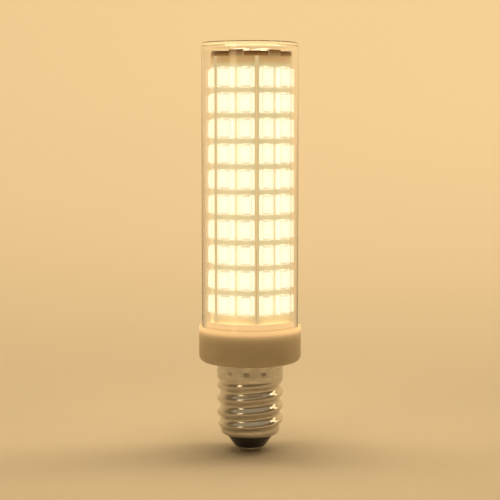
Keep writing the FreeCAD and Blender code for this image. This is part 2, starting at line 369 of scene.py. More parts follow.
# %% Material: white solder resist
board_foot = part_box("base_board")[1].z
resist, tree, shader = start_material("white_solder_resist", Roughness=0.45, Emission_Strength=1.0)
board_map = add(tree, "ShaderNodeUVMap")
board_axes = add(tree, "ShaderNodeSeparateXYZ", {"Vector": board_map.outputs["UV"]})
along = board_axes.outputs["Y"]
gap = place_group(tree, gap_group, Across=board_axes.outputs["X"], Along=along, Last_row=rows - 1.0)
halo = place_group(tree, halo_group, Distance=gap.outputs["Distance"])
above_foot = math_node(tree, "ADD", along, (first_row - board_foot) / mm)
foot = place_group(tree, glow_group, Distance=above_foot, Reach=1.4)
lit = mixed(tree, foot.outputs["Glow"], halo.outputs["Colour"], linear(214, 180, 120))
set_inputs(shader, Emission_Color=lit)
print("material made:", resist.name)

# %% [markdown]
# ## Finish: paint and tracks of the side boards
# Under its light the resist is an off-white paint with a fine tooth. The tabs at the top are
# bare laminate, painted darker brown as shade where the LEDs don't light them. The copper track
# under each column of LEDs lifts the paint to a low ridge. A ridge of a few hundredths of a
# millimetre isn't worth any faces, so it is bump.

# %% Material: paint, tabs and tracks
def resist_paint(tree):
    """Colour of white resist, and the height of its tooth."""
    grain = place_group(tree, grain_group, Fine_scale=4000.0, Cloud_scale=250.0)
    paint = mixed(tree, grain.outputs["Cloud"], linear(222, 214, 196), linear(240, 235, 222))
    return paint, grain.outputs["Height"]


def bumped(tree, shader, height, strength, depth):
    """Give a shader's surface the relief of a height socket."""
    bump = add(tree, "ShaderNodeBump", {"Height": height, "Strength": strength, "Distance": depth})
    set_inputs(shader, Normal=bump.outputs["Normal"])


track_half = 0.5 * mm
track_foot = track_half + 0.12 * mm
tooth_share = 0.3
top_low, top_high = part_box("top_board")
paint, tooth = resist_paint(tree)
# Painted shade: the tabs' base colour is a dark brown because no LED light reaches them.
shaded_tab = ranged(tree, along, (top_low.z - first_row) / mm, (top_high.z - first_row) / mm)
set_inputs(shader, Base_Color=mixed(tree, shaded_tab, paint, linear(112, 72, 28)))
track = ranged(tree, gap.outputs["Column"], track_half / mm, track_foot / mm, to_low=1.0, to_high=0.0)
relief = math_node(tree, "ADD", track, math_node(tree, "MULTIPLY", tooth, tooth_share))
bumped(tree, shader, relief, strength=0.6, depth=0.03 * mm)
print("paint and tracks added to", resist.name)

# %% [markdown]
# ## Finish: cut edge of a board
# Under the resist a board is glass cloth in resin, which is tan at a sawn edge and lets some
# light through. Real layers would be too thin to see as faces, so noise that is stretched
# along the board stands for the layers of cloth.

# %% Material: laminate edge
laminate, tree, shader = start_material("laminate_edge", Roughness=0.6, Emission_Strength=0.7)
cloth_place = add(tree, "ShaderNodeTexCoord").outputs["Object"]
stretch = add(tree, "ShaderNodeMapping", {"Vector": cloth_place, "Scale": (1.0, 1.0, 0.05)})
layers = add(tree, "ShaderNodeTexNoise", {
    "Vector": stretch.outputs["Vector"], "Scale": 1600.0, "Detail": 3.0})
cloth = mixed(tree, layers.outputs["Fac"], linear(160, 140, 96), linear(192, 172, 124))
# Painted light: the emission stands for LED light that the laminate carries out to its cut edge.
seep = mixed(tree, layers.outputs["Fac"], linear(206, 186, 136), linear(228, 210, 164))
set_inputs(shader, Base_Color=cloth, Emission_Color=seep)
print("material made:", laminate.name)

# %% [markdown]
# ## Shared effect: faces and edges of a flat board
# The top board and the base board keep the shapes that the frame brings, and a frame's mesh
# takes one material. So the direction of each face decides: what points up or down is painted,
# and the rest is a cut edge. The LEDs below still reach the foot of the top board's edge, so its
# colour is painted light and shade: lit tan at the foot, and shaded brown above.

# %% Group: faces and edges
dark_lip = 0.3 * mm
cut_group, cut_in, cut_out = start_group("board_cut", {"Height": 0.0}, {"Face": "Float", "Edge": "Color"})
facing = add(cut_group, "ShaderNodeNewGeometry")
facing_axes = add(cut_group, "ShaderNodeSeparateXYZ", {"Vector": facing.outputs["Normal"]})
upright = math_node(cut_group, "ABSOLUTE", facing_axes.outputs["Z"])
feed(cut_out.inputs["Face"], math_node(cut_group, "GREATER_THAN", upright, 0.5))
# Painted light and shade: the edge's colour darkens from lit tan to shaded brown with height.
climb = ranged(cut_group, cut_in.outputs["Height"], top_low.z / mm, (top_high.z - dark_lip) / mm)
feed(cut_out.inputs["Edge"], mixed(cut_group, climb, linear(168, 126, 68), linear(96, 58, 16)))
print("group made:", cut_group.name)

# %% [markdown]
# ## Finish: top board
# The two flat boards are the same stock as the side boards. Two trees would say nearly the same
# twice, so one function gives both their paint and their cut edges, and returns what their
# light can be made from. The top board has the halo of its own four LEDs, whose first row lies
# half a pitch before the middle.

# %% Material: top board
def flat_board(node, name, strength):
    """Put white resist and cut edges on a node; returns the tree, shader, place and cut."""
    material, tree, shader = start_material(name, Roughness=0.45, Emission_Strength=strength)
    spot = place_group(tree, spot_group)
    cut = place_group(tree, cut_group, Height=spot.outputs["Height"])
    paint, tooth = resist_paint(tree)
    # The edges' base colour is the painted light and shade of the cut group.
    set_inputs(shader, Base_Color=mixed(tree, cut.outputs["Face"], cut.outputs["Edge"], paint))
    bumped(tree, shader, tooth, strength=0.4, depth=0.02 * mm)
    nodes[node].material_slots[0].material = material
    return tree, shader, spot, cut


top_rows = 2
tree, shader, spot, cut = flat_board("top_board", "top_board_resist", strength=0.45)
along = math_node(tree, "ADD", spot.outputs["Along"], (top_rows - 1) / 2 * row_pitch / mm)
gap = place_group(tree, gap_group, Across=spot.outputs["Across"], Along=along, Last_row=top_rows - 1.0)
halo = place_group(tree, halo_group, Distance=gap.outputs["Distance"])
lit = mixed(tree, cut.outputs["Face"], cut.outputs["Edge"], halo.outputs["Colour"])
set_inputs(shader, Emission_Color=lit)
print("finish of the top board:", nodes["top_board"].active_material.name)

# %% [markdown]
# ## Finish: base board
# The round board under the prism has no LEDs of its own, so the halo can't light it. The prism
# that stands on it does, and its light fades outwards from the side boards, which the distance
# from the axis and the fading glow give.

# %% Material: base board
board_low, board_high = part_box("side_board_3")
tree, shader, spot, _ = flat_board("base_board", "base_board_resist", strength=0.95)
away = math_node(tree, "SUBTRACT", spot.outputs["Radius"], board_high.x / mm)
glow = place_group(tree, glow_group, Distance=away, Reach=4.0)
lit = mixed(tree, glow.outputs["Glow"], linear(160, 112, 56), linear(255, 220, 160))
set_inputs(shader, Emission_Color=lit)
print("finish of the base board:", nodes["base_board"].active_material.name)

# %% [markdown]
# ## Finish: clear cover
# The cover is moulded in clear polycarbonate. A thin sheet with a see-through shader would be
# quicker, but this is a real wall with two surfaces, so plain transmission with the plastic's
# refractive index bends light as the real wall does. Moulded plastic is never optically flat:
# a broad, very low bump and a little haze break the reflections. The wall also pipes light up
# to its rim, which a weak emission shows there.

# %% Material: clear plastic
cover_low, cover_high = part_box("clear_cover")
cover_wall = 0.7 * mm
clear, tree, shader = start_material(
    "clear_polycarbonate", Base_Color=(1.0, 0.99, 0.97, 1.0), Transmission_Weight=1.0, IOR=1.49,
    Emission_Strength=0.18)
grain = place_group(tree, grain_group, Fine_scale=500.0, Cloud_scale=90.0)
haze = ranged(tree, grain.outputs["Cloud"], 0.0, 1.0, to_low=0.0, to_high=0.06)
set_inputs(shader, Roughness=haze)
bumped(tree, shader, grain.outputs["Cloud"], strength=0.15, depth=0.01 * mm)
print("material made:", clear.name)

# %% [markdown]
# ## Finish: light at the cover's rim
# The piped light shows only where wall and ceiling meet. A second material there would leave a
# hard line, so two ranges, one over the radius and one over the height, are multiplied into a
# soft mask for that ring. Both are given in wall thicknesses, so they follow the cover's size.

# %% Material: rim of the cover
def near_edge(tree, value, edge, start, end):
    """Rise from zero to one between two distances from an edge, given in wall thicknesses."""
    return ranged(tree, value, (edge - start * cover_wall) / mm, (edge - end * cover_wall) / mm)


no_light = linear(0, 0, 0)
spot = place_group(tree, spot_group)
near_wall = near_edge(tree, spot.outputs["Radius"], cover_high.x, start=1.9, end=1.1)
near_top = near_edge(tree, spot.outputs["Height"], cover_high.z, start=2.0, end=0.8)
rim = math_node(tree, "MULTIPLY", near_wall, near_top)
set_inputs(shader, Emission_Color=mixed(tree, rim, no_light, linear(255, 216, 146)))
print("rim light added to", clear.name)

# %% [markdown]
# ## Finish: white moulded plastic
# The base is white plastic. Its rim holds the foot of the cover and takes light from it, so a
# narrow band there is lit evenly, and below it the light dies out within a few millimetres.
# Scattering inside the plastic could show that, but it is slow, so the fading glow stands for
# it, with the height on the lamp as its distance.

# %% Material: white plastic
housing_low, housing_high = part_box("base_housing")
spigot_rise = 0.4 * mm
collar_rim = housing_high.z - spigot_rise
lit_band = 0.6 * mm
plastic, tree, shader = start_material("white_plastic", Emission_Strength=1.0)
grain = place_group(tree, grain_group, Fine_scale=2600.0, Cloud_scale=180.0)
# Painted shade: the base colour is a warm off-white, darkened further to stand for the shade that lies on the
# collar.
shade = mixed(tree, grain.outputs["Cloud"], linear(180, 165, 138), linear(196, 181, 154))
gloss = ranged(tree, grain.outputs["Cloud"], 0.0, 1.0, to_low=0.34, to_high=0.5)
bumped(tree, shader, grain.outputs["Height"], strength=0.3, depth=0.02 * mm)
spot = place_group(tree, spot_group)
below = math_node(tree, "SUBTRACT", (collar_rim - lit_band) / mm, spot.outputs["Height"])
glow = place_group(tree, glow_group, Distance=below, Reach=0.62)
lit = mixed(tree, glow.outputs["Glow"], no_light, linear(214, 172, 116))
set_inputs(shader, Base_Color=shade, Roughness=gloss, Emission_Color=lit)
print("material made:", plastic.name)

# %% [markdown]
# ## Finish: plated shell, solder and contact
# The screw shell is brass sheet with bright nickel on it, and the contact and solder joints
# are tin. Three trees could be built by hand, but these metals differ only in colour, in how
# rough they are and in how strongly handling shows, so one function with those values makes
# all of them. Solder beside the LEDs also gets some of their light as a weak emission.

# %% Materials: plated and tinned metal
def plated(name, dull, bright, smooth, rough, scale, depth, lit=0.0):
    """Metal with handling marks that lighten it, roughen it and scratch it, lit from beside."""
    material, tree, shader = start_material(name, Metallic=1.0, Emission_Strength=lit)
    marks = place_group(tree, marks_group, Scale=scale)
    colour = mixed(tree, marks.outputs["Streaks"], dull, bright)
    spread = ranged(tree, marks.outputs["Streaks"], 0.0, 1.0, to_low=smooth, to_high=rough)
    set_inputs(shader, Base_Color=colour, Roughness=spread)
    bumped(tree, shader, marks.outputs["Height"], strength=0.35, depth=depth)
    if lit > 0:
        shine = mixed(tree, marks.outputs["Height"], linear(206, 192, 150), linear(240, 226, 184))
        set_inputs(shader, Emission_Color=shine)
    return material


tin_dull = linear(196, 192, 184)
tin_bright = linear(222, 219, 212)
nickel = plated("nickel_plate", linear(204, 199, 190), linear(226, 222, 214),
                smooth=0.12, rough=0.3, scale=260.0, depth=0.008 * mm)
tin = plated("tin_solder", tin_dull, tin_bright, smooth=0.26, rough=0.46, scale=700.0, depth=0.03 * mm)
lit_tin = plated("tin_solder_lit", tin_dull, tin_bright,
                 smooth=0.3, rough=0.5, scale=700.0, depth=0.03 * mm, lit=0.7)
print("metals made:", nickel.name, tin.name, "and", lit_tin.name)

# %% [markdown]
# ## Finish: black plug
# The cap's insulator is a black glassy moulding: dark, smooth and a little wavy. A black gloss
# alone would look like wet paint, so the grain group gives the waves, and a touch of coat
# gives the deep gloss of glass over black.

# %% Material: black insulator
glassy, tree, shader = start_material("black_insulator", Coat_Weight=0.4, Coat_Roughness=0.08)
grain = place_group(tree, grain_group, Fine_scale=1500.0, Cloud_scale=260.0)
dark = mixed(tree, grain.outputs["Cloud"], linear(16, 15, 16), linear(34, 32, 32))
gloss = ranged(tree, grain.outputs["Cloud"], 0.0, 1.0, to_low=0.16, to_high=0.34)
set_inputs(shader, Base_Color=dark, Roughness=gloss)
bumped(tree, shader, grain.outputs["Height"], strength=0.3, depth=0.03 * mm)
print("material made:", glassy.name)

# %% [markdown]
# ## Finish: parts inside the lamp
# The supply's parts keep the frame's shapes, because nothing shows them while the lamp is
# whole. They still get the look of their kind, from one function: two shades clouded by the
# grain group, a gloss, and a low bump. Metal strips use the same tree with metal switched on.

# %% Materials: hidden parts
def clouded(name, low, high, rough, metal=0.0):
    """Finish with two shades in soft clouds and a fine grain."""
    material, tree, shader = start_material(name, Roughness=rough, Metallic=metal)
    grain = place_group(tree, grain_group, Fine_scale=3500.0, Cloud_scale=400.0)
    set_inputs(shader, Base_Color=mixed(tree, grain.outputs["Cloud"], low, high))
    bumped(tree, shader, grain.outputs["Height"], strength=0.35, depth=0.02 * mm)
    return material


hidden_finishes = {
    "driver_board": clouded("green_resist", linear(18, 74, 40), linear(34, 104, 58), rough=0.4),
    "smoothing_capacitor": clouded("black_sleeve", linear(18, 18, 22), linear(38, 38, 44), rough=0.35),
    "film_capacitor": clouded("capacitor_case", linear(150, 44, 24), linear(182, 62, 34), rough=0.3),
    "bridge_rectifier": clouded("chip_body", linear(22, 22, 22), linear(44, 43, 42), rough=0.6),
    "bleed_resistor": clouded("chip_resistor", linear(20, 20, 24), linear(46, 46, 52), rough=0.35),
    "fuse_resistor": clouded("resistor_body", linear(86, 120, 132), linear(120, 152, 160), rough=0.4),
}
brass = clouded("brass_strip", linear(176, 138, 70), linear(208, 170, 96), rough=0.3, metal=1.0)
for name in ("neutral_strip", "led_strip_positive", "led_strip_negative"):
    hidden_finishes[name] = brass
for name, material in hidden_finishes.items():
    nodes[name].material_slots[0].material = material
print("hidden parts dressed:", len(hidden_finishes))

# %% [markdown]
# ## Helpers for blocks
# LEDs, solder joints and boards all begin as a scaled cube whose edges are then taken off. The
# bevel operator's defaults differ from the editor's, so one helper always says how round the
# edges become, how many faces they get and that they keep the material beside them.

# %% Helpers: blocks and bevels
def block(size, middle):
    """Cube scaled to a size, at a middle point."""
    bm = bmesh.new()
    bmesh.ops.create_cube(bm, size=1.0)
    bmesh.ops.scale(bm, vec=size, verts=bm.verts[:])
    bmesh.ops.translate(bm, vec=middle, verts=bm.verts[:])
    return bm


def edges_along(bm, axis, reach):
    """Edges that run further than a reach along one axis."""
    return [e for e in bm.edges if abs(e.verts[0].co[axis] - e.verts[1].co[axis]) > reach]


def bevelled(bm, edges, width, segments):
    """Take some edges off, in a few steps that follow a round."""
    bmesh.ops.bevel(bm, geom=edges, offset=width, offset_type="OFFSET", segments=segments,
                    profile=0.5, affect="EDGES", material=-1)


print("block helpers are ready")

# %% [markdown]
# ## One LED body, made once
# Each LED is a small moulded cup with cut corners. A sculpted body would be finer, but there
# are over a hundred of them, so each may have a few dozen faces at most. A cube is scaled to
# the package, its upright corners are bevelled, and its face is inset twice, the second time
# pushed in to form the cup. The result is kept as a template that can be repeated.

# %% Template: LED body
board_face = board_high.x
body_height = body_high.x - board_face
led_rim = 0.3 * mm
cup_depth = 0.12 * mm
cup_slope = 0.03 * mm
corner_cut = 0.22 * mm


def package_block(low, high, width, length):
    """Block facing +X between two heights, with cut corners, and its front face."""
    bm = block((high - low, width, length), ((high + low) / 2, 0, 0))
    bevelled(bm, edges_along(bm, 0, (high - low) / 2), corner_cut, segments=1)
    return bm, max(bm.faces, key=lambda face: face.calc_center_median().x)


def worked_face(bm, face, inset, rise):
    """Inset a face, and move the part that is left of it along X."""
    bmesh.ops.inset_individual(bm, faces=[face], thickness=inset, depth=0.0)
    bmesh.ops.translate(bm, vec=(rise, 0, 0), verts=face.verts[:])


def template(bm, name):
    """Keep a shape as a mesh that can be repeated."""
    bmesh.ops.recalc_face_normals(bm, faces=bm.faces[:])
    mesh = bpy.data.meshes.new(name)
    bm.to_mesh(mesh)
    bm.free()
    return mesh


body_bm, cup_face = package_block(0.0, body_height, led_width, led_length)
worked_face(body_bm, cup_face, led_rim, 0.0)
worked_face(body_bm, cup_face, cup_slope, -cup_depth)
body_template = template(body_bm, "led_body_template")
print("faces of one LED body:", len(body_template.polygons))

# %% [markdown]
# ## One LED window
# The phosphor is poured into the cup and sets with a slight bulge. It is a second, smaller
# block in the cup, with its face inset and raised. A flat map goes on it for the glow: two
# directions and a starting point say how far each corner lies across and along.

# %% Template: LED window
def flat_map(bm, faces, across, along, start):
    """Lay a map in millimetres on faces: distance across and along from a starting point."""
    layer = bm.loops.layers.uv.verify()
    for face in faces:
        for loop in face.loops:
            offset = loop.vert.co - start
            loop[layer].uv = (offset.dot(across) / mm, offset.dot(along) / mm)


window_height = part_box("led_phosphors_3")[1].x - board_face
window_width = led_width - 2 * (led_rim + cup_slope)
window_length = led_length - 2 * (led_rim + cup_slope)
bulge_inset = 0.45 * mm
bulge_rise = 0.06 * mm
window_bm, window_face = package_block(
    body_height - cup_depth, window_height - bulge_rise, window_width, window_length)
worked_face(window_bm, window_face, bulge_inset, bulge_rise)
flat_map(window_bm, window_bm.faces, across=Vector((0, 2 * mm / window_width, 0)),
         along=Vector((0, 0, 2 * mm / window_length)), start=Vector((0, 0, 0)))
window_template = template(window_bm, "led_window_template")
print("faces of one LED window:", len(window_template.polygons))

# %% [markdown]
# ## Solder wedges
# An LED of this kind is soldered at its two short ends, and the joint shows as a small bright
# ramp. A real fillet is hollow, but at this size only the ramp is seen. A cube is scaled to
# the joint, its outer end is pressed down and narrowed, and its long edges are rounded.

# %% Template: solder wedge
wedge_reach = 0.38 * mm
wedge_rise = 0.34 * mm
wedge_width = 1.9 * mm
wedge_edge = 0.1 * mm
toe_height = 0.2
toe_width = 0.85


def solder_wedge(reach, rise, width):
    """Ramp that leans on a wall in the XY plane, stands on the YZ plane and runs out along +Z."""
    bm = block((rise, width, reach), (rise / 2, 0, reach / 2))
    toe = [v for v in bm.verts if v.co.z > reach / 2]
    bmesh.ops.scale(bm, vec=(toe_height, toe_width, 1.0), verts=toe)
    bevelled(bm, edges_along(bm, 2, reach / 2), wedge_edge, segments=2)
    return bm


wedge_template = template(solder_wedge(wedge_reach, wedge_rise, wedge_width), "solder_wedge_template")
print("faces of one solder wedge:", len(wedge_template.polygons))

# %% [markdown]
# ## Helpers for pieces
# A template is repeated by a matrix for each place. Instances would save memory, but a piece of
# this lamp has to be one mesh at the origin, so the copies are joined. Every finished piece
# rides on the lamp's one body, gets its finishes, and may stand for a plain node of the frame.
# Its faces are shaded smoothly where they meet at a small angle.

# %% Helpers: repeated shapes and finished pieces
sharp_angle = math.radians(40)


def repeated(mesh, places):
    """One bmesh with a copy of a template mesh at each place."""
    bm = bmesh.new()
    for place in places:
        start = len(bm.verts)
        bm.from_mesh(mesh)
        bm.verts.ensure_lookup_table()
        bmesh.ops.transform(bm, matrix=place, verts=bm.verts[start:])
    return bm


def finished(bm, name, materials, replaced=()):
    """Turn a bmesh into a piece of the lamp."""
    mesh = bpy.data.meshes.new(name)
    bm.to_mesh(mesh)
    bm.free()
    for material in materials:
        mesh.materials.append(material)
    mesh.shade_smooth()
    mesh.set_sharp_from_angle(angle=sharp_angle)
    piece = bpy.data.objects.new(name, mesh)
    scene.collection.objects.link(piece)
    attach(piece, "root")
    if replaced:
        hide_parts(*replaced)
    return piece


print("piece helpers are ready")

# %% [markdown]
# ## LEDs on the sides
# Ten rows of two LEDs go on each of the six boards. On the real lamp a machine places them as
# one field, so each field is three pieces here: its bodies, its windows and its solder. A
# matrix moves each copy on to the board that faces +X and then turns it round the axis.

# %% Pieces: side LEDs
side_numbers = range(1, 7)
side_turn = math.tau / len(side_numbers)
upper_end = Matrix.Translation((0, 0, led_length / 2))
lower_end = Matrix.Rotation(math.pi, 4, "X") @ upper_end


def side_place(number):
    """Turn that brings a shape that faces +X to a numbered side."""
    return Matrix.Rotation((number - 3) * side_turn, 4, "Z")


def led_spots(row_count):
    """Each LED's distance from the board's middle line, and from the first row."""
    return [((column - (columns - 1) / 2) * column_pitch, row * row_pitch)
            for row in range(row_count) for column in range(columns)]


def led_field(before, after, places):
    """Bodies, windows and solder of a field of LEDs, named with what stands before and after."""
    ends = [place @ end for place in places for end in (upper_end, lower_end)]
    finished(repeated(body_template, places), before + "led_bodies" + after,
             [led_white], [before + "led_frames" + after])
    finished(repeated(window_template, places), before + "led_windows" + after,
             [phosphor], [before + "led_phosphors" + after])
    finished(repeated(wedge_template, ends), before + "led_solder" + after,
             [lit_tin])


grid = [Matrix.Translation((board_face, across, first_row + up)) for across, up in led_spots(rows)]
for number in side_numbers:
    led_field("", "_" + str(number), [side_place(number) @ place for place in grid])
print("LEDs on the sides:", len(grid) * len(side_numbers))

# %% [markdown]
# ## LEDs on the top
# Four more LEDs lie on the top board and shine upwards. They are the same packages, so the
# same templates are tipped from facing +X to facing +Z, and turned so that they lie along Y.

# %% Pieces: top LEDs
tip_up = Matrix.Rotation(math.pi / 2, 4, "Z") @ Matrix.Rotation(-math.pi / 2, 4, "Y")
half_field = (top_rows - 1) / 2 * row_pitch
top_grid = [Matrix.Translation((across, along - half_field, top_high.z)) @ tip_up
            for across, along in led_spots(top_rows)]
led_field("top_", "", top_grid)
print("LEDs on the top:", len(top_grid))

# %% [markdown]
# ## One side board
# A side board is a plate with a tab at each end, which plugs into the boards below and above.
# It could be one outline that is pushed to its thickness, but a cube is quicker: two cuts mark
# the tab's width, and the middle faces at both ends are extruded to the tabs' ends.

# %% Template: plate and tabs of a side board
same_place = 1e-7


def cut_through(bm, point, normal, clear_outer=False):
    """Cut a whole shape with a plane, and drop what lies past it where that is wanted."""
    bmesh.ops.bisect_plane(bm, geom=bm.verts[:] + bm.edges[:] + bm.faces[:], dist=same_place,
                           plane_co=point, plane_no=normal, clear_outer=clear_outer)


facing_cosine = 0.9
tab_width = 3.0 * mm
plate_size = Vector((board_high.x - board_low.x, board_high.y - board_low.y, top_low.z - board_foot))
plate_middle = Vector(((board_high.x + board_low.x) / 2, 0, (top_low.z + board_foot) / 2))
board_bm = block(plate_size, plate_middle)
for side in (-tab_width / 2, tab_width / 2):
    cut_through(board_bm, (0, side, 0), (0, 1, 0))
for direction, height in ((1, board_high.z), (-1, board_low.z)):
    ends = [f for f in board_bm.faces if f.normal.z * direction > facing_cosine]
    middle = [f for f in ends if abs(f.calc_center_median().y) < tab_width / 4]
    made = bmesh.ops.extrude_face_region(board_bm, geom=middle)["geom"]
    bmesh.ops.delete(board_bm, geom=middle, context="FACES")
    tab_end = [v for v in made if isinstance(v, bmesh.types.BMVert)]
    bmesh.ops.translate(board_bm, vec=(0, 0, height - tab_end[0].co.z), verts=tab_end)
bmesh.ops.dissolve_limit(board_bm, angle_limit=0.01, verts=board_bm.verts[:], edges=board_bm.edges[:])
bmesh.ops.recalc_face_normals(board_bm, faces=board_bm.faces[:])
print("faces of one board before its edges:", len(board_bm.faces))

# %% [markdown]
# ## Side boards
# A router leaves a fine soft edge on a board's outer side. The inner edges of the six boards
# meet, so only outer edges are bevelled, and no slit opens between the boards. The outer face
# gets resist and a map in millimetres, and the rest shows laminate. Then the board is copied
# to all six sides.

# %% Pieces: side boards
router_edge = 0.06 * mm
outer = [e for e in board_bm.edges if max(v.co.x for v in e.verts) > plate_middle.x]
bevelled(board_bm, outer, router_edge, segments=2)
front = [f for f in board_bm.faces if f.normal.x > facing_cosine]
for face in board_bm.faces:
    face.material_index = 0 if face in front else 1
flat_map(board_bm, front, across=Vector((0, 1, 0)), along=Vector((0, 0, 1)), start=Vector((0, 0, first_row)))
board_template = template(board_bm, "side_board_template")
for number in side_numbers:
    finished(repeated(board_template, [side_place(number)]), "board_panel_" + str(number),
             [resist, laminate], ["side_board_" + str(number)])
print("side boards:", len(side_numbers), "with", len(board_template.polygons), "faces each")

# %% [markdown]
# ## Solder at the upper tabs
# The tabs stick out a little above the top board, and a fillet of solder on their inner side
# joins the boards. The LEDs' wedge does for these too: it is made again at a larger size and
# laid on its back, so that it leans on the tab.

# %% Piece: tab solder
tab_wedge_reach = 0.7 * mm
tab_wedge_width = 2.4 * mm
tab_wedge = solder_wedge(tab_wedge_reach, board_high.z - top_high.z, tab_wedge_width)
tab_template = template(tab_wedge, "tab_wedge_template")
lay_flat = Matrix.Rotation(math.pi, 4, "Z") @ Matrix.Rotation(-math.pi / 2, 4, "Y")
tab_foot = Matrix.Translation((board_low.x, 0, top_high.z)) @ lay_flat
finished(repeated(tab_template, [side_place(number) @ tab_foot for number in side_numbers]),
         "tab_solder", [lit_tin])
print("tab joints:", len(side_numbers))

# %% [markdown]
# ## Helpers for turned pieces
# Cover, base, plug and contact are all round. A stack of cylinders would leave seams, so one
# helper spins a whole outline about the axis. Edges on the axis itself are left out, and what
# meets there is merged. Rings that should be soft are bevelled after the spin, which keeps the
# outline short enough to read.

# %% Helpers: turned pieces
ring_tolerance = 2e-6


def soften_ring(bm, radius, height, width):
    """Bevel the ring of edges that lies at one radius and height."""
    def on_ring(vert):
        near = abs(math.hypot(vert.co.x, vert.co.y) - radius) < ring_tolerance
        return near and abs(vert.co.z - height) < ring_tolerance
    ring = [e for e in bm.edges if on_ring(e.verts[0]) and on_ring(e.verts[1])]
    bevelled(bm, ring, width, segments=4)


def turned(outline, steps=96):
    """Spin a closed outline of (radius, height, softness) points about the lamp's axis."""
    bm = bmesh.new()
    ring = [bm.verts.new((radius, 0, height)) for radius, height, _ in outline]
    sides = zip(ring, ring[1:] + ring[:1])
    edges = [bm.edges.new(side) for side in sides if side[0].co.x + side[1].co.x > 0]
    bmesh.ops.spin(bm, geom=ring + edges, cent=(0, 0, 0), axis=(0, 0, 1), angle=math.tau,
                   steps=steps, use_merge=True)
    bmesh.ops.remove_doubles(bm, verts=bm.verts[:], dist=same_place)
    bmesh.ops.dissolve_degenerate(bm, edges=bm.edges[:], dist=same_place)
    bmesh.ops.recalc_face_normals(bm, faces=bm.faces[:])
    for radius, height, softness in outline:
        if softness > 0:
            soften_ring(bm, radius, height, softness)
    return bm


print("turning helpers are ready")

# %% [markdown]
# ## Clear cover
# The cover is a tube with a flat closed end. A solid cylinder would bend light like a lens, so
# the outline is that of the wall: spinning it gives inner and outer surfaces in one go, and
# the closed end meets itself at the axis. All its edges are softened a little, because a mould
# can't have sharp corners there.

# %% Piece: clear cover
end_wall = 0.8 * mm
foot_edge = 0.12 * mm
top_edge = 0.4 * mm
inner_corner = 0.35 * mm
cover_radius = cover_high.x
cover_bore = cover_radius - cover_wall
cover_ceiling = cover_high.z - end_wall
finished(turned([
    (cover_bore, cover_low.z, foot_edge),
    (cover_radius, cover_low.z, foot_edge),
    (cover_radius, cover_high.z, top_edge),
    (0.0, cover_high.z, 0.0),
    (0.0, cover_ceiling, 0.0),
    (cover_bore, cover_ceiling, inner_corner),
], steps=128), "cover_tube", [clear], ["clear_cover"])
print("cover made, bore radius", round(cover_bore / mm, 2), "mm")

# %% [markdown]
# ## Moulded base: what it has to fit
# A neck goes into the screw shell, and the cover's foot goes into a groove between the collar's
# lip and a spigot. Each radius could be typed in, but then nothing would fit after a change. So
# the groove takes its place from the cover with a small clearance, the neck takes its radius
# from the plug that fits the same shell, and only walls and depths are written here.

# %% Base: radii and heights
shell_low, shell_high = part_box("screw_shell")
plug_low, plug_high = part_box("cap_insulator")
cover_fit = 0.1 * mm
spigot_wall = 1.6 * mm
neck_wall = 0.85 * mm
collar_floor = 1.6 * mm
seat_depth = 2.4 * mm
collar_radius = housing_high.x
collar_foot = shell_high.z
lip_bore = cover_radius + cover_fit
spigot_radius = cover_bore - cover_fit
cavity_radius = spigot_radius - spigot_wall
cavity_floor = collar_foot + collar_floor
neck_radius = plug_high.x
neck_bore = neck_radius - neck_wall
seat = collar_rim - seat_depth
print("groove for the cover:", round((lip_bore - spigot_radius) / mm, 2), "mm wide")

# %% [markdown]
# ## Moulded base
# On the real lamp neck, collar, lip and spigot are one moulding. Separate rings would show
# their joints, so the same spin makes all of it. The collar's lower edge gets the widest
# rounding, which is what catches the eye from the front.

# %% Piece: moulded base
lip_edge = 0.12 * mm
rim_round = 0.34 * mm
foot_round = 1.3 * mm
finished(turned([
    (neck_bore, housing_low.z, 0.0),
    (neck_radius, housing_low.z, 0.0),
    (neck_radius, collar_foot, 0.0),
    (collar_radius, collar_foot, foot_round),
    (collar_radius, collar_rim, rim_round),
    (lip_bore, collar_rim, lip_edge),
    (lip_bore, seat, 0.0),
    (spigot_radius, seat, 0.0),
    (spigot_radius, housing_high.z, lip_edge),
    (cavity_radius, housing_high.z, 0.0),
    (cavity_radius, cavity_floor, 0.0),
    (neck_bore, cavity_floor, 0.0),
], steps=128), "base_moulding", [plastic], ["base_housing"])
print("base made, collar radius", round(collar_radius / mm, 2), "mm")

# %% [markdown]
# ## Screw shell: the coil
# The shell is drawn from sheet, and its round thread is rolled in. A stack of rings would look
# alike from the front, but a thread climbs. So one wave of it is drawn as an open line and
# spun several turns, with a small climb at each step, so that every turn ends where the next
# begins. Two planes then cut the coil square.

# %% Shell: coil of the thread
def drawn_line(bm, points):
    """Draw an open line through (radius, height) points, and return its vertices and edges."""
    line = [bm.verts.new((radius, 0, height)) for radius, height in points]
    return line + [bm.edges.new(pair) for pair in zip(line, line[1:])]


